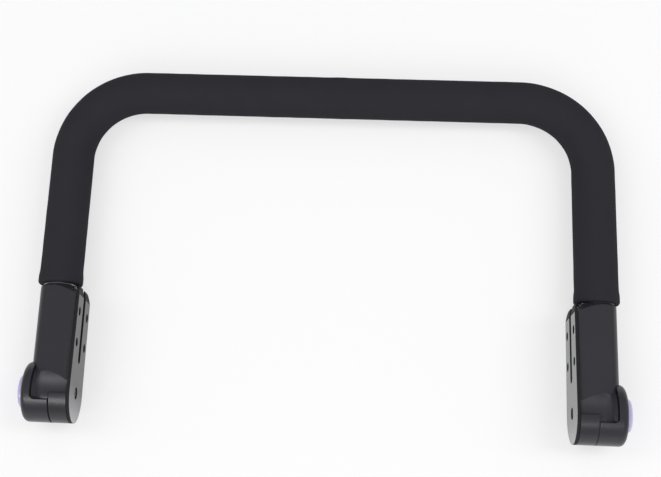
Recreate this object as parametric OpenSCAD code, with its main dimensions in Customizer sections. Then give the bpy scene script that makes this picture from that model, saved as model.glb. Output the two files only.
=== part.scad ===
/* [Bar] */
// Distance between the centre lines of the two arms
bar_spacing = 400; // [340:1:480]
// Distance from the hub axis to the centre line of the cross bar
bar_reach = 238.3; // [200:0.1:300]
// Bend radius of the tube at its centre line
bend_r = 55.3; // [45:0.1:80]
// Outside diameter of the tube
tube_d = 25; // [23:0.1:26]
// Wall thickness of the tube
tube_wall = 1.5; // [1:0.1:2]

/* [Foam grip] */
// Thickness of the foam sleeve over the tube
foam_t = 3.65; // [2.6:0.05:6]
// How far each end of the sleeve swells beyond its middle
foam_swell = 0.6; // [0.2:0.05:1.2]
// Length of each swollen end
foam_end = 12; // [8:0.5:20]
// How far from the end the swelling starts to fade
foam_bulge = 5.4; // [3:0.1:7]
// Rounding of the edge of each end
foam_edge = 2.2; // [1:0.1:2.5]
// Bare tube left between the sleeve and the arm
foam_gap = 0.9; // [0.5:0.1:4]

/* [Arm housing] */
// Distance from the hub axis to the top of the arm
arm_len = 79.8; // [70:0.1:110]
// Diameter of the round side of the arm
arm_d = 26.6; // [26:0.1:32]
// Height of the arm where it meets the mounting plate
arm_flare = 38.2; // [34:0.1:39]
// Width of the flat shoulder of the arm beside the plate
arm_flat = 2; // [1:0.1:3]
// Radius of the arm's two outer corners
arm_corner = 9; // [6:0.1:11]
// Height of the flat outer side of the arm between those corners
arm_side = 8.4; // [4:0.1:10]
// How far the arm goes on past the hub axis, inside the cup
arm_foot = 5; // [2:0.1:7]
// Chamfer round the top of the arm
arm_edge = 1.2; // [0.6:0.1:2]
// How steeply the spread side leans in to the round top
arm_lean = 0.6; // [0.4:0.05:0.9]
// Length of the spigot that goes up inside the tube
spigot_len = 32; // [20:0.5:60]
// Diameter of the pin that holds the tube on the spigot
pin_d = 4; // [3:0.1:5]
// Height of the pin above the top of the arm
pin_up = 18; // [10:0.5:18]
// How far each end of the pin lies inside the tube's surface
pin_sink = 0.2; // [0.1:0.1:0.5]

/* [Hub] */
// Diameter of the hub
hub_d = 43.8; // [43:0.1:52]
// Thickness of the two shells round the eye
shell_t = 1.4; // [1:0.1:2]
// Width of the inner shell, the shroud
shroud_w = 13; // [10:0.1:16]
// Width of the drum of the outer shell, without its flange
drum_w = 13.5; // [12.5:0.1:15]
// How far below the axis the edge of the shroud lies
shroud_drop = 3; // [2:0.1:6]
// How far below the axis the edge of the notch in the cup lies
notch_drop = 8; // [7.8:0.1:10]
// Corner radius of the notch
notch_r = 3.5; // [1:0.1:4]
// Rounding of the outer rim of the cup
rim_r = 4; // [2:0.1:5]
// Thickness of the web that the button's legs pass through
web_t = 1.6; // [1.2:0.1:3]
// Diameter of the nose at the eye's outer end
nose_d = 22.6; // [22.2:0.1:25]
// Length of that nose
nose_len = 1.4; // [0.5:0.1:2]
// Length of the taper between the eye and its nose
taper_len = 8.4; // [7:0.1:9.5]
// Thickness of the wall at the closed end of the eye
eye_wall = 4; // [3:0.1:5]

/* [Mounting plate] */
// Distance from the tube's centre line to the inner face of the plate
plate_inset = 19.6; // [18:0.1:24]
// Thickness of the plate
plate_t = 2.2; // [2.1:0.1:3]
// Distance from the hub axis to the top of the plate
plate_len = 77.5; // [70:0.5:79]
// Width of the plate at its top
plate_top_w = 39; // [36:0.5:42]
// Corner radius at the top of the plate
plate_corner = 7; // [4:0.5:9]
// Length of the lead-in bevel at the top of the plate
bevel_len = 7; // [4:0.5:10]
// Depth of the lead-in bevel at the top edge
bevel_depth = 1.3; // [0.8:0.1:1.6]
// Width of the slot
slot_w = 7; // [6:0.1:8]
// Distance from the hub axis to the closed end of the slot
slot_start = 21.8; // [20:0.1:30]
// Width of the channel behind the slot
channel_w = 17; // [14:0.5:20]
// Depth of the channel in the arm
channel_depth = 4.6; // [4.3:0.1:5.5]
// Bore of the four tapped mounting holes
hole_d = 4; // [3.5:0.1:4.5]
// Diameter of the recess round each mounting hole
hole_recess_d = 6.6; // [6:0.1:7.5]
// Depth of that recess
hole_recess = 0.9; // [0.5:0.1:1.2]
// Distance from the hub axis to the lower pair of holes
hole_first = 35.7; // [33:0.1:40]
// Distance between the lower and the upper pair of holes
hole_pitch = 23; // [15:0.1:25]
// Distance between the two holes of a pair
hole_gauge = 26.8; // [24:0.1:28]

/* [Pivot] */
// Diameter of the bolt
bolt_d = 5; // [4.6:0.1:5.5]
// Diameter of the bolt's countersunk head
bolt_head_d = 8.8; // [8:0.1:9]
// How far the head lies below the plate's face
head_sink = 0.1; // [0:0.05:0.15]
// Size of the six-sided socket in the head, over its corners
socket_d = 3.5; // [2.5:0.1:4]
// Depth of that socket
socket_depth = 1.6; // [1:0.1:2]
// How far short of the flange the bolt ends, inside the boss
bolt_short = 3; // [2:0.1:5]
// Outside diameter of the bush that the eye turns on
bush_d = 9; // [8.6:0.1:9.6]
// Diameter of the bush's flange, the seat of the spring
bush_flange_d = 20; // [17:0.1:20.2]
// Thickness of that flange
bush_flange_t = 1; // [0.8:0.1:1.5]
// Length of the bush past its flange, up to the boss of the cup
bush_len = 3.4; // [2:0.1:5]
// Diameter of the thrust washer
washer_d = 20; // [16:0.5:24]
// Thickness of the thrust washer
washer_t = 1; // [0.8:0.1:1.5]

/* [Lock] */
// Number of teeth, which sets the step of the hinge
teeth = 24; // [18:1:30]
// Diameter over the teeth of the lock gear
gear_d = 19.8; // [19.4:0.1:20]
// Height of a tooth
tooth_h = 1.5; // [1.2:0.1:1.8]
// Thickness of the lock gear
gear_t = 6; // [4:0.1:6.5]
// Diameter of the boss of the cup, which the lock gear slides on
boss_d = 10; // [9.8:0.1:10.4]
// Wire of the return spring
spring_wire = 1; // [0.7:0.1:1.1]
// Height of the return spring when it is pressed flat
spring_flat = 2.2; // [1.8:0.1:3]
// How much the radius of the spring's coil grows from the bush to the gear
spring_spread = 3; // [2:0.1:4]
// Number of turns of the return spring
spring_turns = 3; // [2:0.5:4]

/* [Button] */
// Diameter of the button
button_d = 24; // [22:0.1:25]
// How far the button stands out of the hub
button_out = 4.4; // [3.5:0.1:6]
// Travel of the button
button_travel = 3; // [2.5:0.1:3.3]
// Width of the lip that keeps the button in
lip_w = 1.5; // [1:0.1:2]
// Thickness of that lip
lip_t = 1; // [0.8:0.1:1.5]
// Rounding of the button's outer edge
button_edge = 2; // [1:0.1:2.5]
// Dish of the button's face, for the thumb
button_dish = 0.8; // [0.3:0.1:1.2]
// Radius of the flat middle of that dish
dish_r = 6.6; // [4:0.1:8]
// Thickness of the ring that closes the cup round the button
ring_t = 1.3; // [1:0.1:2]
// Width of that ring
ring_w = 5; // [3:0.1:5.5]
// Radial thickness of each leg of the button
leg_t = 2.1; // [1.5:0.1:2.3]
// Width of each leg
leg_w = 5; // [4:0.1:6]
// How far the legs stand outside the bore of the lock gear
leg_clear = 0.6; // [0.3:0.1:0.8]

/* [Clearances] */
// Gap between pieces that turn or slide past each other
run_gap = 0.3; // [0.25:0.05:0.35]
// Radial gap of the bush in the eye
bush_gap = 0.08; // [0.05:0.01:0.1]
// Gap between pieces that are fixed together
fit_gap = 0.05; // [0:0.01:0.1]
// Gap between the plate and the arm
face_gap = 0.4; // [0.3:0.05:0.6]

/* [Hidden] */
$fn = 64;
eps = 0.01;
// How far a cut runs past the face that it opens
past = 1;

// Overall outline
tube_r = tube_d / 2;
foam_r = tube_r + foam_t;
hub_r = hub_d / 2;
half = bar_spacing / 2;
// The part is centred front to back between the hubs and the cross bar
hub_y = -(bar_reach + foam_r - hub_r) / 2;
hub_z = hub_r;

// Places along the hub axis, measured from the middle of the bar
plate_in = half - plate_inset;
plate_out = plate_in + plate_t;
eye_in = plate_out + face_gap;
shroud_out = eye_in + shroud_w;
cup_in = shroud_out + run_gap;
flange_in = cup_in + drum_w;
eye_out = flange_in - run_gap;
web_out = flange_in + web_t;
lip_in = web_out + fit_gap + button_travel;
lip_out = lip_in + lip_t;
ring_in = lip_out + run_gap / 2;
cup_out = ring_in + ring_t;
button_top = cup_out + button_out;
floor_in = eye_in + eye_wall;
bush_seat = floor_in + run_gap;
spring_seat = bush_seat + bush_flange_t;
bush_end = spring_seat + bush_len;
bolt_end = flange_in - bolt_short;
gear_in = spring_seat + spring_flat + button_travel;
gear_out = gear_in + gear_t;
ring_teeth_in = gear_out + run_gap;

// Radii about the hub axis
drum_in_r = hub_r - shell_t;
eye_r = drum_in_r - run_gap;
arm_r = arm_d / 2;
boss_r = boss_d / 2;
gear_r = gear_d / 2;
pocket_r = gear_r + run_gap;
button_r = button_d / 2;
lip_r = button_r + lip_w;
bolt_r = bolt_d / 2;
bush_r = bush_d / 2;
head_r = bolt_head_d / 2;
leg_r = boss_r + run_gap + leg_clear;

// Puts a piece of the right hub in place, and its mirror image on the left
module side(s) {
    translate([0, hub_y, hub_z]) mirror([s < 0 ? 1 : 0, 0, 0]) children();
}

// A solid of revolution about the hub axis, drawn as points [radius, place along the axis]
module about_hub(points, sides = 96) {
    rotate([0, 90, 0]) rotate_extrude($fn = sides) polygon(points);
}

// A straight cylinder on the hub axis between two places
module hub_rod(r, from, to) {
    translate([from, 0, 0]) rotate([0, 90, 0]) cylinder(r = r, h = to - from, $fn = 96);
}

// Extrudes an outline drawn as [y, z] along the hub axis between two places
module across(from, to) {
    translate([from, 0, 0]) rotate([90, 0, 90]) linear_extrude(to - from) children();
}

// The U of the bar as a solid rod of radius r, from the height start above the hub axis
module u_rod(r, start) {
    top = bar_reach - bend_r;
    translate([0, hub_y, hub_z]) {
        for (s = [-1, 1]) {
            translate([s * half, start, 0]) rotate([-90, 0, 0]) cylinder(r = r, h = top - start);
            translate([s * (half - bend_r), top, 0])
                rotate([0, 0, s > 0 ? 0 : 90])
                    rotate_extrude(angle = 90, $fn = 96) translate([bend_r, 0]) circle(r = r);
        }
        translate([-(half - bend_r), bar_reach, 0]) rotate([0, 90, 0])
            cylinder(r = r, h = 2 * (half - bend_r));
    }
}

module bar_tube() {
    color("silver") difference() {
        u_rod(tube_r, arm_len);
        u_rod(tube_r - tube_wall, arm_len - past);
        for (s = [-1, 1]) side(s) pin_rod(pin_d / 2 + fit_gap, tube_d + past);
    }
}

// The swollen end of the sleeve, as [radius, height above the end]
module foam_end_form() {
    big = foam_r + foam_swell;
    edge = [for (a = [0 : 15 : 90]) [big - foam_edge * (1 - sin(a)), foam_edge * (1 - cos(a))]];
    rotate([-90, 0, 0]) rotate_extrude() polygon(concat(
        [[0, 0]], edge, [[big, foam_bulge], [foam_r, foam_end], [0, foam_end]]));
}

module foam_grip() {
    start = arm_len + foam_gap;
    color("#2e2d32") difference() {
        union() {
            u_rod(foam_r, start + foam_end - past);
            for (s = [-1, 1]) side(s) translate([half, start, 0]) foam_end_form();
        }
        u_rod(tube_r + fit_gap, start - past);
    }
}

// Pin across the tube and the spigot
module pin_rod(r, length) {
    translate([half, arm_len + pin_up, -length / 2]) cylinder(r = r, h = length, $fn = 32);
}

module tube_pin(s) {
    color("darkgray") side(s) pin_rod(pin_d / 2, tube_d - 2 * pin_sink);
}

// Outline of the arm across its length, as [place along the hub axis, height] from the tube's centre line:
// a flat shoulder beside the plate, a slope that touches the rounded outer corner, and a flat outer side
module arm_outline() {
    away = half - eye_in;
    near = away - arm_flat;
    side_z = arm_flare / 2;
    corner = [arm_r - arm_corner, arm_side / 2];
    slope = corner - [-near, side_z];
    lean = atan2(slope[1], slope[0]) + asin(arm_corner / norm(slope));
    touch = corner + arm_corner * [-sin(lean), cos(lean)];
    translate([half, 0]) {
        for (m = [-1, 1]) translate([corner[0], m * corner[1]]) circle(r = arm_corner, $fn = 96);
        polygon([[-away, side_z], [-near, side_z], touch, corner, [arm_r, corner[1]],
            [arm_r, -corner[1]], [corner[0], -corner[1]], [touch[0], -touch[1]],
            [-near, -side_z], [-away, -side_z]]);
    }
}

// Height of the arm's shoulder at a distance r from the tube's centre line
function shoulder(r) = arm_len - arm_edge - arm_lean * (r - arm_r);

module arm_housing(s) {
    color("#38383c") side(s) difference() {
        union() {
            intersection() {
                translate([0, -arm_foot, 0]) rotate([-90, 0, 0])
                    linear_extrude(arm_foot + arm_len) arm_outline();
                // The spread side leans in to the round of the tube at the top
                translate([half, 0, 0]) rotate([-90, 0, 0]) rotate_extrude($fn = 96)
                    polygon([[0, -hub_r], [arm_flare, -hub_r], [arm_flare, shoulder(arm_flare)],
                        [arm_r + past, shoulder(arm_r + past)], [arm_r - arm_edge, arm_len], [0, arm_len]]);
            }
            about_hub([[0, eye_in], [eye_r, eye_in], [eye_r, eye_out - nose_len - taper_len],
                [nose_d / 2, eye_out - nose_len], [nose_d / 2, eye_out], [0, eye_out]]);
            translate([half, arm_len - past, 0]) rotate([-90, 0, 0])
                cylinder(r = tube_r - tube_wall - fit_gap, h = spigot_len + past);
        }
        // Room for the flange of the cup
        hub_rod(hub_r + run_gap, eye_out, cup_out + past);
        // Channel behind the slot of the plate
        translate([eye_in - past, slot_start - slot_w, -channel_w / 2])
            cube([channel_depth + past, arm_len, channel_w]);
        // Bearing, washer seat, gear pocket and ring of teeth
        hub_rod(bush_r + bush_gap, eye_in - past, floor_in + past);
        hub_rod(washer_d / 2 + run_gap, eye_in - past, plate_out + washer_t + run_gap);
        hub_rod(pocket_r + run_gap, floor_in, ring_teeth_in);
        across(ring_teeth_in - eps, eye_out + past) tooth_outline(pocket_r, tooth_h);
        pin_rod(pin_d / 2 + fit_gap, tube_d);
    }
}

// Outline of a toothed wheel: tip radius r, tooth height h; each tooth is a place in its step and a radius
module tooth_outline(r, h) {
    step = 360 / teeth;
    tooth = [[0.08, r - h], [0.3, r], [0.7, r], [0.92, r - h]];
    polygon([for (i = [0 : teeth - 1], k = tooth)
        k[1] * [cos((i + k[0]) * step), sin((i + k[0]) * step)]]);
}

// The C-shaped inner shell that closes the eye below its axis
module eye_shroud(s) {
    color("#38383c") side(s) intersection() {
        difference() {
            hub_rod(hub_r, eye_in, shroud_out);
            hub_rod(eye_r + fit_gap, eye_in - past, shroud_out + past);
        }
        translate([eye_in - past, -hub_d - shroud_drop, -hub_d])
            cube([shroud_w + 2 * past, hub_d, 2 * hub_d]);
    }
}

// Points on an arc round c, in steps between two angles
function arc(c, r, from, to, steps) = [for (i = [0 : steps])
    c + r * [cos(from + (to - from) * i / steps), sin(from + (to - from) * i / steps)]];

// Outline of the plate as [y, z]: a disc round the hub axis and a tapering tongue
module plate_outline() {
    corner = [plate_len - plate_corner, plate_top_w / 2 - plate_corner];
    // Direction square to the line that touches the disc and the corner circle
    lean = atan2(corner[1], corner[0]) + acos((hub_r - plate_corner) / norm(corner));
    polygon(concat(arc(corner, plate_corner, 0, lean, 8), arc([0, 0], hub_r, lean, 360 - lean, 56),
        arc([corner[0], -corner[1]], plate_corner, 360 - lean, 360, 8)));
}

module mount_plate(s) {
    color("#48484d") side(s) difference() {
        across(plate_in, plate_out) plate_outline();
        // Slot, open at the top
        across(plate_in - past, plate_out + past) {
            translate([slot_start + slot_w / 2, 0]) circle(d = slot_w);
            translate([slot_start + slot_w / 2, -slot_w / 2]) square([plate_len, slot_w]);
        }
        // Lead-in bevel on the inner face
        translate([plate_in, plate_len, -plate_top_w]) linear_extrude(2 * plate_top_w)
            polygon([[-past, -bevel_len], [0, -bevel_len], [bevel_depth, 0],
                [bevel_depth, past], [-past, past]]);
        for (y = [hole_first, hole_first + hole_pitch], m = [-1, 1])
            translate([0, y, m * hole_gauge / 2]) {
                hub_rod(hole_d / 2, plate_in - past, plate_out + past);
                hub_rod(hole_recess_d / 2, plate_in - past, plate_in + hole_recess);
            }
        // Countersunk seat of the pivot bolt
        bolt_form(fit_gap, plate_in - past, plate_out + past);
    }
}

// The bolt, whose head tapers at 45 degrees to the plate's outer face, wider all round by gap
module bolt_form(gap, from, to) {
    about_hub([[0, from], [head_r + gap, from], [head_r + gap, plate_out - (head_r - bolt_r)],
        [bolt_r + gap, plate_out], [bolt_r + gap, to], [0, to]], 48);
}

module pivot_bolt(s) {
    color("silver") side(s) difference() {
        bolt_form(0, plate_in + head_sink, bolt_end);
        // Six-sided socket
        translate([plate_in, 0, 0]) rotate([0, 90, 0]) cylinder(d = socket_d, h = socket_depth, $fn = 6);
    }
}

module pivot_bush(s) {
    color("khaki") side(s) difference() {
        union() {
            hub_rod(bush_r, plate_out, bush_end);
            hub_rod(bush_flange_d / 2, bush_seat, spring_seat);
        }
        hub_rod(bolt_r + fit_gap, plate_out - past, bush_end + past);
    }
}

module thrust_washer(s) {
    color("ivory") side(s) difference() {
        hub_rod(washer_d / 2, plate_out, plate_out + washer_t);
        hub_rod(bush_r + fit_gap, plate_out - past, plate_out + washer_t + past);
    }
}

// The button's three legs between two places, or the slots for them, wider all round by grow
module legs(grow, from, to) {
    across(from, to) difference() {
        for (a = [0 : 120 : 240]) rotate(a) intersection() {
            circle(r = leg_r + leg_t + grow);
            translate([0, -leg_w / 2 - grow]) square([2 * leg_r, leg_w + 2 * grow]);
        }
        circle(r = leg_r - grow);
    }
}

// The outer shell: drum with its notch, flange with the seat of the button, and boss
module hub_cup(s) {
    rim = [for (a = [0 : 15 : 90]) [hub_r - rim_r + rim_r * cos(a), cup_out - rim_r + rim_r * sin(a)]];
    color("#38383c") side(s) difference() {
        union() {
            about_hub(concat([[0, cup_in], [hub_r, cup_in]], rim, [[0, cup_out]]));
            hub_rod(boss_r, bush_end, flange_in);
        }
        difference() {
            union() {
                hub_rod(drum_in_r, cup_in - past, flange_in);
                notch();
            }
            hub_rod(boss_r, cup_in - 2 * past, flange_in + past);
        }
        legs(run_gap, flange_in - past, web_out + past);
        hub_rod(lip_r + run_gap, web_out, cup_out + past);
        hub_rod(button_r + run_gap + ring_w, ring_in, cup_out + past);
        hub_rod(bolt_r + fit_gap, bush_end - past, bolt_end + fit_gap);
    }
}

// Notch in the drum, with a rounded corner beside the flange
module notch() {
    translate([0, 0, -hub_d]) linear_extrude(2 * hub_d) difference() {
        translate([cup_in - past, -notch_drop]) square([drum_w + past, hub_d + notch_drop]);
        translate([flange_in, -notch_drop]) difference() {
            translate([-notch_r, -past]) square([notch_r + past, notch_r + past]);
            translate([-notch_r, notch_r]) circle(r = notch_r);
        }
    }
}

module button_ring(s) {
    color("#2c2c30") side(s) difference() {
        hub_rod(button_r + run_gap + ring_w - fit_gap, ring_in, cup_out);
        hub_rod(button_r + run_gap, ring_in - past, cup_out + past);
    }
}

module button(s) {
    edge = [for (a = [0 : 15 : 90])
        [button_r - button_edge + button_edge * cos(a), button_top - button_edge + button_edge * sin(a)]];
    color("#b9b4e6") side(s) union() {
        about_hub(concat([[0, lip_in], [lip_r, lip_in], [lip_r, lip_out], [button_r, lip_out]],
            edge, [[dish_r, button_top - button_dish], [0, button_top - button_dish]]));
        legs(0, gear_out, lip_in + eps);
    }
}

module lock_gear(s) {
    color("gainsboro") side(s) difference() {
        across(gear_in, gear_out) tooth_outline(gear_r, tooth_h);
        hub_rod(boss_r + run_gap, gear_in - past, gear_out + past);
    }
}

// Point number i of the spring's coil: a cone that widens towards the gear
function coil_point(turn, low, high) = let (share = turn / spring_turns,
    r = boss_r + run_gap + spring_wire + share * spring_spread)
    [low + share * (high - low), r * cos(turn * 360), r * sin(turn * 360)];

module return_spring(s) {
    sides = 8;
    rings = round(spring_turns * 18);
    wire_r = spring_wire / 2;
    low = spring_seat + wire_r + fit_gap;
    high = gear_in - wire_r - fit_gap;
    points = [for (i = [0 : rings]) let (turn = i / rings * spring_turns, c = coil_point(turn, low, high),
        out = [0, cos(turn * 360), sin(turn * 360)])
        for (k = [0 : sides - 1]) c + wire_r * (cos(k * 360 / sides) * out + [sin(k * 360 / sides), 0, 0])];
    walls = [for (i = [0 : rings - 1], k = [0 : sides - 1]) let (n = (k + 1) % sides)
        [i * sides + k, i * sides + n, (i + 1) * sides + n, (i + 1) * sides + k]];
    ends = [[for (k = [sides - 1 : -1 : 0]) k], [for (k = [0 : sides - 1]) rings * sides + k]];
    color("silver") side(s) polyhedron(points, concat(walls, ends));
}

bar_tube();
foam_grip();
arm_housing(-1);  // left_arm_housing
tube_pin(-1);  // left_tube_pin
eye_shroud(-1);  // left_eye_shroud
mount_plate(-1);  // left_mount_plate
hub_cup(-1);  // left_hub_cup
button_ring(-1);  // left_button_ring
pivot_bolt(-1);  // left_pivot_bolt
pivot_bush(-1);  // left_pivot_bush
thrust_washer(-1);  // left_thrust_washer
button(-1);  // left_button
lock_gear(-1);  // left_lock_gear
return_spring(-1);  // left_return_spring
arm_housing(1);  // right_arm_housing
tube_pin(1);  // right_tube_pin
eye_shroud(1);  // right_eye_shroud
mount_plate(1);  // right_mount_plate
hub_cup(1);  // right_hub_cup
button_ring(1);  // right_button_ring
pivot_bolt(1);  // right_pivot_bolt
pivot_bush(1);  // right_pivot_bush
thrust_washer(1);  // right_thrust_washer
button(1);  // right_button
lock_gear(1);  // right_lock_gear
return_spring(1);  // right_return_spring
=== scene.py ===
import bmesh
import bpy
import numpy as np
from mathutils import Euler, Matrix, Vector


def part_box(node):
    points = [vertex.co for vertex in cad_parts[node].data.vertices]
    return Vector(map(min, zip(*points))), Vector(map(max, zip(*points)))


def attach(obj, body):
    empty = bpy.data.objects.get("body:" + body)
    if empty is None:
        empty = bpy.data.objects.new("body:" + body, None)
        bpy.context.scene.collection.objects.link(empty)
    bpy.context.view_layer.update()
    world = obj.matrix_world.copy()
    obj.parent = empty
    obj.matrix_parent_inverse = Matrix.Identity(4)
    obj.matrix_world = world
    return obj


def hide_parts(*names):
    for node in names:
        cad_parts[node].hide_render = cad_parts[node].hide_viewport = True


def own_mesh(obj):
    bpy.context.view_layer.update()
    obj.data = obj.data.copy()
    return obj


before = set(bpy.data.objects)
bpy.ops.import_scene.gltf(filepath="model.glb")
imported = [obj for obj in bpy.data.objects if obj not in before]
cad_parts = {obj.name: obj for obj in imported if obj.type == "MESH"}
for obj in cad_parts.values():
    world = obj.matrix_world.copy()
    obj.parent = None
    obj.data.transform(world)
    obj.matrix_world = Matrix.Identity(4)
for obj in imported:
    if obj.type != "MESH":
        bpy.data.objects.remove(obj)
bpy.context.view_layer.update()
print("frame loaded:", len(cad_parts), "nodes")

sides = {"left": -1, "right": 1}            # which way along X each hub lies
shellLow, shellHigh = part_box("right_hub_cup")
hubRadius = (shellHigh.y - shellLow.y) / 2  # of the outer shell
hubEnd = shellHigh.x                        # its outer face, from the middle plane


def hubAxis(name):
    # Y and Z of the line that the hub on that side turns about
    low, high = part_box(name + "_pivot_bolt")
    return (low.y + high.y) / 2, (low.z + high.z) / 2


def reachAlongX(node, side):
    # how far the node's inner and outer end stand from the middle plane
    low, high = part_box(node)
    return (low.x, high.x) if side > 0 else (-high.x, -low.x)


def fullTurn(steps):
    # evenly spaced angles, once round
    return np.linspace(0, 2 * np.pi, steps, endpoint=False)


def turnedGrid(name, side, x, r, u):
    # rows about the hub axis: x outwards along it, r from it and u round it
    hubY, hubZ = hubAxis(name)
    return np.stack(np.broadcast_arrays(side * x[:, None], hubY + r * np.cos(u), hubZ + r * np.sin(u)), -1)


def smoothStep(x, low, high):
    # 0 before low, 1 after high, and a cubic ease between them
    t = np.clip((x - low) / (high - low), 0, 1)
    return t * t * (3 - 2 * t)


def meshFromGrid(name, points, closeU=True, closeV=True):
    # points is an array (rows, columns, 3) and neighbours in it make one quad each; closeU joins the last
    # column to the first, closeV the last row to the first
    rows, columns = points.shape[:2]
    i = np.arange(rows if closeV else rows - 1)
    j = np.arange(columns if closeU else columns - 1)
    ii, jj = np.meshgrid(i, j, indexing="ij")
    nextI, nextJ = (ii + 1) % rows, (jj + 1) % columns
    corners = ((ii, jj), (ii, nextJ), (nextI, nextJ), (nextI, jj))
    quads = np.stack([row * columns + column for row, column in corners], -1).reshape(-1, 4)
    flat = points.reshape(-1, 3)
    # six times the enclosed volume, from each quad's two triangles, tells which way the faces look
    a, b, c, d = (flat[quads[:, corner]] for corner in range(4))
    volume = np.sum(a * np.cross(b, c)) + np.sum(a * np.cross(c, d))
    if volume < 0:
        quads = quads[:, ::-1]
    mesh = bpy.data.meshes.new(name)
    mesh.vertices.add(len(flat))
    mesh.vertices.foreach_set("co", flat.astype(np.float32).ravel())
    mesh.loops.add(quads.size)
    mesh.loops.foreach_set("vertex_index", quads.astype(np.int32).ravel())
    mesh.polygons.add(len(quads))
    mesh.polygons.foreach_set("loop_start", np.arange(0, quads.size, 4, dtype=np.int32))
    mesh.polygons.foreach_set("use_smooth", np.ones(len(quads), bool))
    mesh.update(calc_edges=True)
    piece = bpy.data.objects.new(name, mesh)
    bpy.context.scene.collection.objects.link(piece)
    return piece


poles = {
    "mergeWithin": 1e-7,    # points nearer to each other than this become one
    "sharpFrom": 35,        # degrees between two faces, from which their edge looks sharp
}


def closePoles(piece, v):
    # rows that have shrunk to a point are merged into it, faces are turned outwards and sharp edges kept
    work = bmesh.new()
    work.from_mesh(piece.data)
    bmesh.ops.remove_doubles(work, verts=work.verts, dist=v["mergeWithin"])
    bmesh.ops.recalc_face_normals(work, faces=work.faces)
    sharp = np.radians(v["sharpFrom"])
    for edge in work.edges:
        edge.smooth = bool(edge.calc_face_angle(0) < sharp)
    work.to_mesh(piece.data)
    work.free()


class Nodes:
    # a short way to write shader nodes: what they take is a number, a vector, a colour or another's output
    def __init__(self, owner):
        owner.use_nodes = True
        self.tree = owner.node_tree
        self.tree.nodes.clear()

    def feed(self, socket, value):
        if isinstance(value, bpy.types.NodeSocket):
            self.tree.links.new(value, socket)
        elif socket.type == "RGBA":
            socket.default_value = (*value, 1)
        else:
            socket.default_value = value

    def add(self, kind, **settings):
        # a setting is the node's own, or else it goes to its socket of that name, "_" standing for a space
        node = self.tree.nodes.new(kind)
        for key, value in settings.items():
            if hasattr(node, key):
                setattr(node, key, value)
            else:
                self.feed(node.inputs[key.replace("_", " ")], value)
        return node

    def maths(self, operation, a, b=0, clamp=False):
        node = self.add("ShaderNodeMath", operation=operation, use_clamp=clamp)
        self.feed(node.inputs[0], a)
        self.feed(node.inputs[1], b)
        return node.outputs[0]

    def plus(self, a, b, clamp=False):
        return self.maths("ADD", a, b, clamp)

    def minus(self, a, b, clamp=False):
        return self.maths("SUBTRACT", a, b, clamp)

    def times(self, a, b, clamp=False):
        return self.maths("MULTIPLY", a, b, clamp)

    def power(self, a, b):
        return self.maths("POWER", a, b)

    def size(self, a):
        return self.maths("ABSOLUTE", a)

    def above(self, a, b):
        return self.maths("GREATER_THAN", a, b)

    def below(self, a, b):
        return self.maths("LESS_THAN", a, b)

    def distance(self, a, b):
        return self.power(self.plus(self.times(a, a), self.times(b, b)), 0.5)

    def axes(self, vector):
        return self.add("ShaderNodeSeparateXYZ", Vector=vector).outputs

    def mix(self, share, a, b, kind="RGBA"):
        # a where share is 0, b where it is 1
        return self.add("ShaderNodeMix", data_type=kind, Factor=share, A=a, B=b).outputs["Result"]

    def mixShader(self, share, a, b):
        node = self.add("ShaderNodeMixShader")
        for socket, value in zip(node.inputs, (share, a, b)):
            self.feed(socket, value)
        return node.outputs[0]


def fromHub(n, place):
    # X from the middle plane, Y and Z from the hub axis
    hubY, hubZ = hubAxis("right")
    x, y, z = n.axes(place)
    return x, n.minus(y, hubY), n.minus(z, hubZ)


eye = {
    "radius": hubRadius - 0.0017,   # of the arm's round end, inside the shell's wall and a running gap
    "start": hubEnd - 0.0172,       # along X, where its straight part ends
    "end": hubEnd - 0.00745,        # just short of the outer shell's flange
    "curve": 1.6,                   # how it narrows on the way: 1 would be a straight cone, more is fuller
}

# painted highlight on the arm's round eye, palest at one height along Y
eyeHighlight = {
    "drop": 0.0042,         # of the highlighted surface's radius along the eye, a little more than the fairing's
    "depth": 0.00035,       # how far from that surface the painted highlight still reaches
    "peak": 0.0075,         # its palest place, along Y from the hub axis
    "spread": 0.0048,
    "spots": 0.7,           # how much of it comes and goes with the clouds
    "leftBrighter": 0.5,        # how much stronger the painted highlight is on the left hub
    # the painted highlight's palest colour
    "colour": (0.12, 0.117, 0.13),
}


def addEyeHighlight(n, place, cloud, colour, v):
    # painted highlight: paler where the distance from the hub axis is the eye's radius there, and most at
    # one
    # height along Y: share = (1 - |distance - radius| / depth) * exp(-((y - peak) / spread) squared) *
    # spots, where spots are the clouds' share and, on the left hub, an extra share for its stronger
    # highlight
    x, y, z = fromHub(n, place)
    along = n.times(n.minus(n.size(x), eye["start"]), 1 / (eye["end"] - eye["start"]), clamp=True)
    radius = n.minus(eye["radius"], n.times(n.power(along, eye["curve"]), v["drop"]))
    gap = n.size(n.minus(n.distance(y, z), radius))
    near = n.minus(1, n.times(gap, 1 / v["depth"]), clamp=True)
    off = n.times(n.minus(y, v["peak"]), 1 / v["spread"])
    fade = n.maths("EXPONENT", n.times(n.times(off, off), -1))
    spots = n.plus(n.times(cloud, v["spots"]), n.times(n.below(x, 0), v["leftBrighter"]))
    return n.mix(n.times(n.times(near, fade), spots, clamp=True), colour, v["colour"])


# painted shade in the chamfered groove between the two shells, which are also made duller there
seamShade = {
    "place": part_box("right_eye_shroud")[1].x + 0.00015,     # along X, in the gap between the two shells
    "width": 0.00075,               # half of the chamfered groove's
    "radius": hubRadius - 0.0007,   # from the hub axis: on the shells and not on the eye inside them
    "top": 0.0115,                  # along Y from the hub axis, short of the arm
    "rightShare": 0.3,              # the right hub gets this share of the painted shade
    # of the painted shade
    "colour": (0.002, 0.002, 0.002),
    "roughness": 0.6,               # what the groove adds
}


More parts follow.
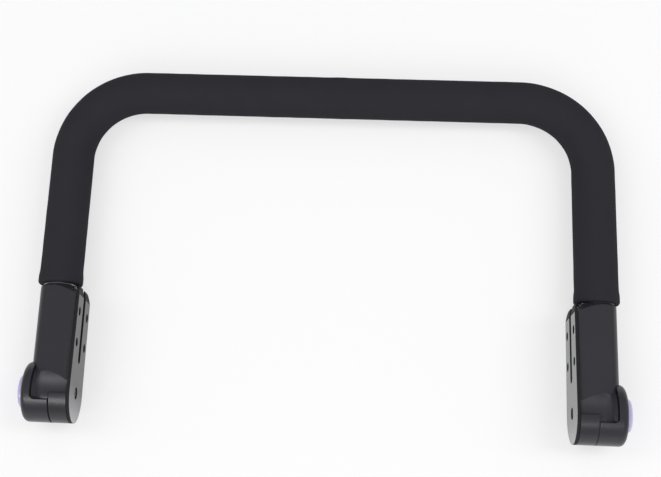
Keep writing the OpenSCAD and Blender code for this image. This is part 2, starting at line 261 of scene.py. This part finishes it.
def addSeamShade(n, place, colour, roughness, v):
    # painted shade, and duller, in the chamfers between the two shells: share = (width - distance from the
    # middle) * 2 / width, from 0 to 1, and on the right hub rightShare of it
    x, y, z = fromHub(n, place)
    away = n.size(n.minus(n.size(x), v["place"]))
    near = n.times(n.minus(v["width"], away), 2 / v["width"], clamp=True)
    bySide = n.plus(n.times(n.below(x, 0), 1 - v["rightShare"]), v["rightShare"])
    onShells = n.times(n.above(n.distance(y, z), v["radius"]), n.below(y, v["top"]))
    share = n.times(n.times(near, bySide), onShells)
    return n.mix(share, colour, v["colour"]), n.plus(roughness, n.times(share, v["roughness"]), clamp=True)


plateFace = {
    "flatFrom": 0.994,      # how squarely it looks along X: from here on it is the smooth face
    "rimBelow": 0.9,        # and below this it is the rim, with painted shade
    # painted shade on the rim, where the plate meets the shell
    "rimShadeColour": (0.009, 0.0088, 0.01),
    "rimRoughness": 1.0,
    # painted reflection, paler towards the plate's end and blotched by the clouds
    "reflectionColour": (0.31, 0.31, 0.317),
    "reflectionFrom": 0.004,     # along Y from the hub axis, where the painted reflection begins
    "reflectionLength": 0.026,   # from there to the end of the plate, where it is whole
    "reflectionCurve": 1.9,
    "reflectionEven": 0.6,       # this much of it everywhere
    "reflectionSpots": 0.6,      # and this much with the clouds
    "leftHaze": 0.22,       # roughness of the left plate away from its end
}


def addPlateFace(n, place, normal, cloud, colour, roughness, v):
    # painted shade on the dull rim, a painted reflection that makes the face paler towards its end, and on
    # the
    # left a face hazier further up: way = (start - y) / length, from 0 to 1; the painted reflection's share
    # = way to the power of its curve, times the clouds' share; haze = (1 - way) * leftHaze
    x, y, _ = fromHub(n, place)
    squarely = n.size(n.axes(normal)["X"])
    face = n.above(squarely, v["flatFrom"])
    way = n.times(n.minus(v["reflectionFrom"], y), 1 / v["reflectionLength"], clamp=True)
    spots = n.plus(n.times(cloud, v["reflectionSpots"]), v["reflectionEven"])
    paintedReflection = n.times(n.times(n.power(way, v["reflectionCurve"]), spots), face, clamp=True)
    # painted shade on the rim
    colour = n.mix(n.below(squarely, v["rimBelow"]), colour, v["rimShadeColour"])
    # painted reflection on the face, paler towards its end
    colour = n.mix(paintedReflection, colour, v["reflectionColour"])
    haze = n.times(n.times(n.minus(1, way), n.below(x, 0)), v["leftHaze"])
    return colour, n.mix(face, v["rimRoughness"], n.plus(roughness, haze), kind="FLOAT")


finish = {
    # what all the materials share
    "grainDetail": 3,
    "grainRoughness": 0.55,
    "cloudDetail": 4,
    "polishDetail": 2,
    "polishScale": 2.7,     # over the clouds'
    "edgeSamples": 4,
    "edgeFrom": 0.999,      # dot product of the flat and the rounded normal where wear begins
    "edgeWhole": 0.85,      # and where it is whole
    "coatRoughness": 0.12,
}


def skinHeight(n, place, look, v):
    # fine noise, and in foam also a share of the distance from the middle of each cell
    height = n.add("ShaderNodeTexNoise", Vector=place, Scale=look["grainScale"], Detail=v["grainDetail"],
                   Roughness=v["grainRoughness"]).outputs["Fac"]
    if "cellScale" in look:
        cells = n.add("ShaderNodeTexVoronoi", Vector=place, Scale=look["cellScale"]).outputs["Distance"]
        height = n.plus(n.times(cells, look["cellShare"]), height)
    return height


def edgeWear(n, normal, rounded, look, v):
    # an edge is where the rounded normal leaves the flat one, and handling has polished it; on the eye
    # fairing's sharp edge at the flange this paler edge is also a painted highlight: 0 where their dot
    # product is edgeFrom, the look's wear where it is edgeWhole, and an even run between them
    same = n.add("ShaderNodeVectorMath", operation="DOT_PRODUCT")
    n.feed(same.inputs[0], normal)
    n.feed(same.inputs[1], rounded)
    return n.add("ShaderNodeMapRange", Value=same.outputs["Value"], From_Min=v["edgeFrom"],
                 From_Max=v["edgeWhole"], To_Min=0, To_Max=look["wear"]).outputs[0]


def makeMaterial(name, look, v):
    # grain gives the bump, clouds shift the colour, polish shifts the roughness and worn edges have a colour
    # of their own; the shells and the plates also get painted highlight, painted shade and painted
    # reflection
    material = bpy.data.materials.new(name)
    n = Nodes(material)
    place = n.add("ShaderNodeTexCoord").outputs["Object"]
    stretched = n.add("ShaderNodeMapping", Vector=place, Scale=look.get("stretch", (1, 1, 1))).outputs[0]
    normal = n.add("ShaderNodeNewGeometry").outputs["Normal"]
    rounded = n.add("ShaderNodeBevel", samples=v["edgeSamples"], Radius=look["edgeRadius"]).outputs[0]
    bumped = n.add("ShaderNodeBump", Strength=look["bump"], Distance=look["bumpDepth"], Normal=rounded,
                   Height=skinHeight(n, stretched, look, v)).outputs[0]

    cloud = n.add("ShaderNodeTexNoise", Vector=place, Scale=look["cloudScale"],
                  Detail=v["cloudDetail"]).outputs["Fac"]
    colour = n.mix(cloud, look["colour"], look["cloudColour"])
    worn = n.times(edgeWear(n, normal, rounded, look, v), cloud)
    colour = n.mix(worn, colour, look["wornColour"])

    polish = n.add("ShaderNodeTexNoise", Vector=stretched, Scale=look["cloudScale"] * v["polishScale"],
                   Detail=v["polishDetail"]).outputs["Fac"]
    smooth, rough = look["roughness"]
    roughness = n.add("ShaderNodeMapRange", Value=polish, To_Min=smooth, To_Max=rough).outputs[0]

    # painted highlight on the eye and painted shade in the shells' groove; painted shade on the plates' rims
    # and painted reflection on their faces
    if "paintedHubLight" in look:
        colour = addEyeHighlight(n, place, cloud, colour, eyeHighlight)
        colour, roughness = addSeamShade(n, place, colour, roughness, seamShade)
    if "paintedPlateLight" in look:
        colour, roughness = addPlateFace(n, place, normal, cloud, colour, roughness, plateFace)

    shader = n.add("ShaderNodeBsdfPrincipled", Base_Color=colour, Roughness=roughness, Normal=bumped,
                   Metallic=look.get("metallic", 0), Specular_IOR_Level=look.get("specular", 0.5),
                   Coat_Weight=look.get("coat", 0), Coat_Roughness=v["coatRoughness"])
    n.add("ShaderNodeOutputMaterial", Surface=shader.outputs[0])
    return material


looks = {
    "foamSkin": dict(
        colour=(0.0222, 0.0213, 0.0262), cloudColour=(0.0262, 0.0253, 0.0304), cloudScale=45,
        wornColour=(0.034, 0.034, 0.039), wear=0.15, edgeRadius=0.0006,
        roughness=(0.86, 0.96), specular=0.12,
        grainScale=2600, cellScale=1500, cellShare=0.6, bump=0.5, bumpDepth=0.00012),
    "housingPlastic": dict(
        colour=(0.0295, 0.0288, 0.0343), cloudColour=(0.0338, 0.033, 0.0386), cloudScale=30,
        wornColour=(0.075, 0.073, 0.08), wear=0.5, edgeRadius=0.0005,
        roughness=(0.26, 0.34), specular=0.27, paintedHubLight=True,
        grainScale=3000, bump=0.2, bumpDepth=0.00004),
    "platePlastic": dict(
        colour=(0.0265, 0.0258, 0.031), cloudColour=(0.0305, 0.0298, 0.035), cloudScale=36,
        wornColour=(0.05, 0.05, 0.055), wear=0.1, edgeRadius=0.0002,
        roughness=(0.08, 0.14), specular=0.62, paintedPlateLight=True,
        grainScale=2400, bump=0.08, bumpDepth=0.00002),
    "ringPlastic": dict(
        colour=(0.02, 0.02, 0.0225), cloudColour=(0.024, 0.024, 0.027), cloudScale=50,
        wornColour=(0.07, 0.07, 0.075), wear=0.4, edgeRadius=0.0002,
        roughness=(0.4, 0.5),
        grainScale=3000, bump=0.2, bumpDepth=0.00004),
    "buttonPlastic": dict(
        colour=(0.52, 0.49, 0.75), cloudColour=(0.56, 0.53, 0.79), cloudScale=60,
        wornColour=(0.66, 0.63, 0.9), wear=0.4, edgeRadius=0.0002,
        roughness=(0.22, 0.34), coat=0.25,
        grainScale=2200, bump=0.12, bumpDepth=0.00003),
    "brightTube": dict(
        colour=(0.8, 0.8, 0.82), cloudColour=(0.86, 0.86, 0.87), cloudScale=40,
        wornColour=(0.93, 0.93, 0.94), wear=0.3, edgeRadius=0.0003,
        roughness=(0.14, 0.24), metallic=1,
        grainScale=900, stretch=(1, 0.06, 1), bump=0.15, bumpDepth=0.00002),
    "blackSteel": dict(
        colour=(0.2, 0.2, 0.205), cloudColour=(0.26, 0.26, 0.265), cloudScale=160,
        wornColour=(0.5, 0.5, 0.5), wear=0.6, edgeRadius=0.00015,
        roughness=(0.3, 0.45), metallic=1,
        grainScale=1800, bump=0.3, bumpDepth=0.00003),
    "castGear": dict(
        colour=(0.42, 0.42, 0.43), cloudColour=(0.52, 0.52, 0.52), cloudScale=120,
        wornColour=(0.75, 0.75, 0.74), wear=0.7, edgeRadius=0.0002,
        roughness=(0.4, 0.58), metallic=1,
        grainScale=1400, bump=0.45, bumpDepth=0.00006),
    "springWire": dict(
        colour=(0.4, 0.4, 0.42), cloudColour=(0.5, 0.5, 0.5), cloudScale=200,
        wornColour=(0.7, 0.7, 0.7), wear=0.2, edgeRadius=0.0001,
        roughness=(0.28, 0.4), metallic=1,
        grainScale=2500, bump=0.2, bumpDepth=0.00002),
    "acetal": dict(
        colour=(0.72, 0.69, 0.6), cloudColour=(0.78, 0.75, 0.66), cloudScale=90,
        wornColour=(0.85, 0.83, 0.75), wear=0.3, edgeRadius=0.0002,
        roughness=(0.35, 0.5),
        grainScale=2000, bump=0.15, bumpDepth=0.00003),
}
materials = {name: makeMaterial(name, look, finish) for name, look in looks.items()}
print("materials made:", len(materials))

nodeLooks = {
    "foam_grip": "foamSkin", "bar_tube": "brightTube", "tube_pin": "blackSteel",
    "arm_housing": "housingPlastic", "eye_shroud": "housingPlastic", "hub_cup": "housingPlastic",
    "mount_plate": "platePlastic", "button": "buttonPlastic", "button_ring": "ringPlastic",
    "pivot_bolt": "blackSteel", "pivot_bush": "acetal", "thrust_washer": "acetal",
    "lock_gear": "castGear", "return_spring": "springWire",
}
for nodeName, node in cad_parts.items():
    plainName = nodeName.removeprefix("left_").removeprefix("right_")
    node.data.materials.clear()
    node.data.materials.append(materials[nodeLooks[plainName]])
print("solids dressed")


sleeve = {
    "radius": 0.01615,      # outside of the foam
    "bore": 0.01255,        # inside of the foam, on the tube
    "bendRadius": 0.0553,   # of the tube's centre line
    "swell": 0.0006,        # how much fatter each end is
    "endLength": 0.012,     # length of that swelling
    "endFlat": 0.45,        # share of that length where it is whole
    "edge": 0.0022,         # rounding of each end's edge
    "rightReach": 0.0006,   # pushed on unevenly: its right end nearly touches the arm
    "around": 96,
    "along": 420,
    "boreSteps": 130,
    "edgeSteps": 9,
    "faceSteps": 4,         # across each end's flat face
    "skinFrom": 0.001,      # outwards from the bore, where the skin's gentle waves begin
    "waveHeight": 0.00004,
    "waves": [(190, 2, 0), (71, -1, 0.7), (333, 3, 1.9)],   # radians in a metre, turns round, and phase
    "smallWave": 0.6,       # the last one's height, over that of the first two
    "jointAt": 0.006,       # along X, where the two halves of the foam were welded
    "jointHeight": 0.00035,
    "jointWidth": 0.0045,
    "grooveWidth": 0.0012,  # of the groove on the weld's crest
    "grooveDepth": 0.55,    # over the weld's height
    "jointInside": 0.35,    # the weld's height on the inside of the U, over that on its outside
}


def sleevePath(s, halfSpan, low, top, z, bend):
    # a U: up the left leg, round a quarter circle, along the cross bar, round and down the right leg.
    # s is the length along it; returns the place and the sideways direction, towards the outside of the U
    leg = top - bend - low
    arc = bend * np.pi / 2
    bar = 2 * (halfSpan - bend)
    firstBend, barStart, secondBend, legStart = np.cumsum([leg, arc, bar, arc])
    turn1 = np.clip((s - firstBend) / bend, 0, np.pi / 2)
    turn2 = np.clip((s - secondBend) / bend, 0, np.pi / 2)
    up = np.minimum(s, firstBend)
    across = np.clip(s - barStart, 0, bar)
    down = np.maximum(s - legStart, 0)
    x = -halfSpan + bend * (1 - np.cos(turn1)) + across + bend * np.sin(turn2)
    y = low + up + bend * np.sin(turn1) - bend * (1 - np.cos(turn2)) - down
    angle = turn1 + turn2
    place = np.stack([x, y, np.full_like(x, z)], -1)
    side = np.stack([-np.cos(angle), np.sin(angle), np.zeros_like(x)], -1)
    return place, side


def sleeveProfile(length, v):
    # s along the foam and r from the tube's centre line, for the loop that is carried round the tube:
    # out along the first face and its rounded edge, along the outside, in again and back along the bore
    big = v["radius"] + v["swell"]
    quarter = np.radians(np.linspace(0, 90, v["edgeSteps"]))
    edgeS = v["edge"] * (1 - np.cos(quarter))
    edgeR = big - v["edge"] * (1 - np.sin(quarter))
    faceR = np.linspace(v["bore"], big - v["edge"], v["faceSteps"], endpoint=False)
    outS = np.linspace(v["edge"], length - v["edge"], v["along"])[1:-1]
    toEnd = np.minimum(outS, length - outS)
    outR = v["radius"] + v["swell"] * (1 - smoothStep(toEnd, v["endFlat"] * v["endLength"], v["endLength"]))
    boreS = np.linspace(length, 0, v["boreSteps"])[1:-1]
    boreR = np.full_like(boreS, v["bore"])
    firstFace, lastFace = np.zeros_like(faceR), np.full_like(faceR, length)
    s = np.concatenate([firstFace, edgeS, outS, length - edgeS[::-1], lastFace, boreS])
    r = np.concatenate([faceR, edgeR, outR, edgeR[::-1], faceR[::-1], boreR])
    return s, r


def makeSleeve(v):
    # the profile carried round the U: place + r * (cos u * sideways + sin u * upwards), with r a little
    # more or less by the skin's waves and by the weld in the middle of the cross bar
    low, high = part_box("foam_grip")
    bend = v["bendRadius"]
    halfSpan = (high.x - low.x) / 2 - v["radius"] - v["swell"]
    top = high.y - v["radius"]
    # two legs, two quarter circles and the cross bar
    length = 2 * (top - bend - low.y) + np.pi * bend + 2 * (halfSpan - bend) + v["rightReach"]
    s, r = sleeveProfile(length, v)
    place, side = sleevePath(s, halfSpan, low.y, top, (high.z + low.z) / 2, bend)
    s, r = s[:, None], r[:, None]
    u = fullTurn(v["around"])
    # two sines multiplied and a smaller one added, none of it in the bore
    outer = smoothStep(r, v["bore"] + v["skinFrom"], v["radius"])
    first, second, third = (np.sin(s * along + around * u + phase) for along, around, phase in v["waves"])
    wave = first * second + v["smallWave"] * third
    # a low ridge with a shallow groove on its crest, strongest on the outside of the U
    fromJoint = s - length / 2 - v["jointAt"]
    ridge = (np.exp(-(fromJoint / v["jointWidth"]) ** 2)
             - v["grooveDepth"] * np.exp(-(fromJoint / v["grooveWidth"]) ** 2))
    strength = v["jointInside"] + (1 - v["jointInside"]) * np.clip(np.cos(u), 0, 1)
    radius = r + outer * (v["waveHeight"] * wave + v["jointHeight"] * ridge * strength)
    upwards = np.array([0, 0, 1])
    outwards = np.cos(u)[:, None] * side[:, None, :] + np.sin(u)[:, None] * upwards
    piece = meshFromGrid("foamSleeve", place[:, None, :] + radius[..., None] * outwards)
    piece.data.materials.append(materials["foamSkin"])
    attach(piece, "root")
    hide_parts("foam_grip")
    print("foam sleeve:", len(piece.data.polygons), "faces")


makeSleeve(sleeve)


eyeFairing = {
    "endRadius": 0.0165,    # what the eye's radius comes down to
    "filletLength": 0.00305,    # along X, over which it rises again to the flange
    "filletHeight": 0.0026,
    "edge": 0.00012,        # rounding at the flange, kept small so that the worn edge colour shows there as a painted highlight
    "edgeTurns": (30, 60, 90),
    "core": 0.011,          # radius of the ring's inside at the flange, sunk in the eye
    "coreRise": 0.0025,     # how much wider the inside is at its bend
    "coreBend": 0.006,      # and where that is, along X from the eye's straight part
    "skin": 0.001,          # thickness at its thin end
    "steps": 40,
    "around": 160,
}


def makeFairing(name, side, v):
    # ring about the hub axis: radius = the eye's less the drop times the share of the way, which is raised
    # to curve, plus a smooth rise to the flange; then round the edge and back along the inside
    share = np.linspace(0, 1, v["steps"] + 1)
    x = eye["start"] + share * (eye["end"] - eye["start"])
    r = (eye["radius"] - (eye["radius"] - v["endRadius"]) * share ** eye["curve"]
         + v["filletHeight"] * smoothStep(x, eye["end"] - v["filletLength"], eye["end"]))
    turn = np.radians(v["edgeTurns"])
    edgeX = eye["end"] - v["edge"] * (1 - np.sin(turn))
    edgeR = v["endRadius"] + v["filletHeight"] - v["edge"] * (1 - np.cos(turn))
    coreX = [eye["end"], eye["start"] + v["coreBend"], eye["start"]]
    coreR = [v["core"], v["core"] + v["coreRise"], eye["radius"] - v["skin"]]
    x = np.concatenate([x[:-1], edgeX, coreX])
    r = np.concatenate([r[:-1], edgeR, coreR])
    piece = meshFromGrid(name + "EyeFairing", turnedGrid(name, side, x, r[:, None], fullTurn(v["around"])))
    piece.data.materials.append(materials["housingPlastic"])
    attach(piece, "root")
    print(name, "eye fairing:", len(piece.data.polygons), "faces")


pivotBolt = {
    "headRadius": 0.00325,
    "plateAt": 0.0001,      # the plate's face, inwards from the solid bolt's head
    "headSunk": 0.0009,     # below the plate's face
    "bevel": 0.00015,
    "shank": 0.0025,
    "plateThickness": 0.0022,
    "socket": 0.00175,      # six-sided, over its corners
    "socketDepth": 0.0016,
    "socketEdge": 0.0002,   # chamfer round the socket
    "socketRound": 0.3,     # how nearly that chamfer's outer edge is a circle
    "point": 0.0006,        # chamfer at the thread's end
    "around": 72,
}


def makeBolt(name, side, v):
    # turned screw: rows run from the socket's floor, over the head and along the shank to the far end;
    # the socket's radius follows a hexagon: corner radius * cos 30 / cos(angle from the middle of its side)
    node = name + "_pivot_bolt"
    near, far = reachAlongX(node, side)
    face = near - v["plateAt"]
    top = face + v["headSunk"]
    floor = top + v["socketDepth"]
    # radius, place along X and share of the hexagon, row by row
    rows = [
        (0, floor, 0),
        (v["socket"], floor, 1),
        (v["socket"], top + v["socketEdge"], 1),
        (v["socket"] + v["socketEdge"], top, 1 - v["socketRound"]),
        (v["headRadius"] - v["bevel"], top, 0),
        (v["headRadius"], top + v["bevel"], 0),
        (v["shank"], face + v["plateThickness"], 0),
        (v["shank"], far - v["point"], 0),
        (v["shank"] - v["point"], far, 0),
        (0, far, 0),
    ]
    radius, x, share = np.array(rows).T
    u = fullTurn(v["around"])
    hexagon = np.cos(np.pi / 6) / np.cos((u + np.pi / 6) % (np.pi / 3) - np.pi / 6)
    r = radius[:, None] * (1 - share[:, None] + share[:, None] * hexagon)
    piece = meshFromGrid(name + "PivotBolt", turnedGrid(name, side, x, r, u), closeV=False)
    closePoles(piece, poles)
    piece.data.materials.append(materials["blackSteel"])
    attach(piece, name + "_mount")
    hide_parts(node)
    print(name, "bolt:", len(piece.data.polygons), "faces")


returnSpring = {
    "wire": 0.0005,         # its radius
    "turns": 3,
    "spread": 0.003,        # how much the coil's radius grows from the bush to the gear
    "travel": 0.003,        # how far the button presses it
    "steps": 40,            # in one turn
    "around": 14,
}


def makeSpring(name, side, v):
    # cone-shaped coil: its radius and its place along X grow evenly with the turn, and rings stand across
    # the wire; the first and last ring have no size, which closes the wire's ends
    node = name + "_return_spring"
    near, far = reachAlongX(node, side)
    hubY, hubZ = hubAxis(name)
    turn = np.linspace(0, v["turns"], v["turns"] * v["steps"] + 1)
    turn = np.concatenate([[0], turn, [v["turns"]]])
    wire = np.full(len(turn), v["wire"])
    wire[[0, -1]] = 0
    share = turn / v["turns"]
    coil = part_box(node)[1].y - hubY - v["wire"] - (1 - share) * v["spread"]
    x = near + v["wire"] + share * (far - near - 2 * v["wire"])
    u = fullTurn(v["around"])
    reach = coil[:, None] + wire[:, None] * np.cos(u)
    angle = 2 * np.pi * turn[:, None]
    points = np.stack([side * (x[:, None] + wire[:, None] * np.sin(u)), hubY + reach * np.cos(angle),
                       hubZ + reach * np.sin(angle)], -1)
    piece = meshFromGrid(name + "ReturnSpring", points, closeV=False)
    closePoles(piece, poles)
    piece.data.materials.append(materials["springWire"])
    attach(piece, name + "_mount")
    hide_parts(node)
    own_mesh(piece)
    print(name, "spring:", len(piece.data.polygons), "faces, pressed to", round(far - near - v["travel"], 5))


for makePiece, pieceValues in ((makeFairing, eyeFairing), (makeBolt, pivotBolt), (makeSpring, returnSpring)):
    for name, side in sides.items():
        makePiece(name, side, pieceValues)


floorValues = {
    "size": 30.0,
    "tilt": 1.44,           # degrees about X, so that the hubs and the bar both rest on it
    "gap": 0.0003,          # under the hubs
    "colour": (0.85, 0.85, 0.86),
    "lift": 0.575,          # how far the seen floor is lifted to white
}


def seenRay(n):
    # 1 for what is seen directly, mirrored or through glass, and 0 for light that falls on matt surfaces
    path = n.add("ShaderNodeLightPath").outputs
    seen = n.plus(path["Is Camera Ray"], path["Is Glossy Ray"])
    return n.plus(seen, path["Is Transmission Ray"], clamp=True)


def makeFloor(v):
    # one square: height = the hubs' underside - gap + (y - hubs' middle) * tan(tilt)
    low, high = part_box("right_hub_cup")
    ends = np.array([-1, 1]) * v["size"] / 2
    x, y = np.meshgrid(ends, ends)
    z = low.z - v["gap"] + (y - (low.y + high.y) / 2) * np.tan(np.radians(v["tilt"]))
    floor = meshFromGrid("floor", np.stack([x, y, z], -1), closeU=False, closeV=False)
    material = bpy.data.materials.new("floorWhite")
    n = Nodes(material)
    matt = n.add("ShaderNodeBsdfDiffuse", Color=v["colour"]).outputs[0]
    white = n.add("ShaderNodeEmission", Color=(1, 1, 1)).outputs[0]
    n.add("ShaderNodeOutputMaterial", Surface=n.mixShader(n.times(seenRay(n), v["lift"]), matt, white))
    floor.data.materials.append(material)
    print("floor made:", v["size"], "m wide")


sky = {
    # height, from 0 at the horizon to 1 overhead, and the colour that is seen or mirrored there
    "seen": [
        (0, (0.98, 0.98, 0.99)),
        (0.04, (0.3, 0.3, 0.31)),
        (0.12, (0.3, 0.3, 0.31)),
        (0.45, (0.16, 0.155, 0.175)),
    ],
    "ambient": (0.59, 0.59, 0.6),   # what it lights matt surfaces with
}


def makeSky(v):
    # the seen colours run evenly from each height to the next one
    world = bpy.data.worlds.new("studio")
    bpy.context.scene.world = world
    n = Nodes(world)
    height = n.axes(n.add("ShaderNodeTexCoord").outputs["Generated"])["Z"]
    ramp = n.add("ShaderNodeValToRGB", Fac=height)
    stops = ramp.color_ramp.elements
    for stop, (place, colour) in zip(stops, (v["seen"][0], v["seen"][-1])):
        stop.position = place
        stop.color = (*colour, 1)
    for place, colour in v["seen"][1:-1]:
        stops.new(place).color = (*colour, 1)
    seen = n.add("ShaderNodeBackground", Color=ramp.outputs[0]).outputs[0]
    ambient = n.add("ShaderNodeBackground", Color=v["ambient"]).outputs[0]
    matt = n.add("ShaderNodeLightPath").outputs["Is Diffuse Ray"]
    n.add("ShaderNodeOutputWorld", Surface=n.mixShader(matt, seen, ambient))
    print("sky made:", len(stops), "stops")


softboxes = {
    # place, target, size, power, colour, mirrored in glossy surfaces, lights matt ones
    "frontBox": ((-0.32, -1.05, 1.12), (-0.02, -0.10, 0.02), (1.5, 0.32), 17, (1.0, 0.99, 1.0), True, False),
    "frontFill": ((-0.2, -1.2, 1.2), (-0.02, -0.10, 0.02), (1.8, 0.8), 8, (1.0, 1.0, 1.0), False, True),
    "leftBox": ((-1.1, 0.1, 1.4), (-0.1, 0.0, 0.02), (0.5, 1.2), 6.5, (1.0, 1.0, 1.0), False, True),
    "rightBox": ((1.1, 0.1, 1.4), (0.1, 0.0, 0.02), (0.5, 1.2), 9.5, (1.0, 1.0, 1.0), False, True),
}


def makeLights(boxes):
    # each box shines from its place towards its target
    for name, (place, target, size, power, colour, mirrored, matt) in boxes.items():
        light = bpy.data.lights.new(name, "AREA")
        light.shape = "RECTANGLE"
        light.size, light.size_y = size
        light.energy = power
        light.color = colour
        lamp = bpy.data.objects.new(name, light)
        bpy.context.scene.collection.objects.link(lamp)
        lamp.location = place
        lamp.rotation_euler = (Vector(target) - Vector(place)).to_track_quat("-Z", "Y").to_euler()
        lamp.visible_glossy = mirrored
        lamp.visible_diffuse = matt
    print("lights made:", len(boxes))


camera = {
    "place": (0.0204, -0.2388, 0.9281),
    "turn": (17.366, 2.78, 2.719),  # degrees about X, Y and Z; unturned, it looks straight down
    "lens": 67.53,
    "sensor": 36,
    "shift": (0.0756, -0.0681),     # the frame is cut out of a wider one
    "clip": (0.01, 50),
}


def makeCamera(v):
    # the turns are taken in the order X, Y, Z
    data = bpy.data.cameras.new("camera")
    data.sensor_width = v["sensor"]
    data.lens = v["lens"]
    data.shift_x, data.shift_y = v["shift"]
    data.clip_start, data.clip_end = v["clip"]
    body = bpy.data.objects.new("camera", data)
    bpy.context.scene.collection.objects.link(body)
    turn = Euler(np.radians(v["turn"])).to_matrix().to_4x4()
    body.matrix_world = Matrix.Translation(v["place"]) @ turn
    bpy.context.scene.camera = body


makeFloor(floorValues)
makeSky(sky)
makeLights(softboxes)
makeCamera(camera)
bpy.context.scene.view_settings.view_transform = "Standard"
print("stage set")
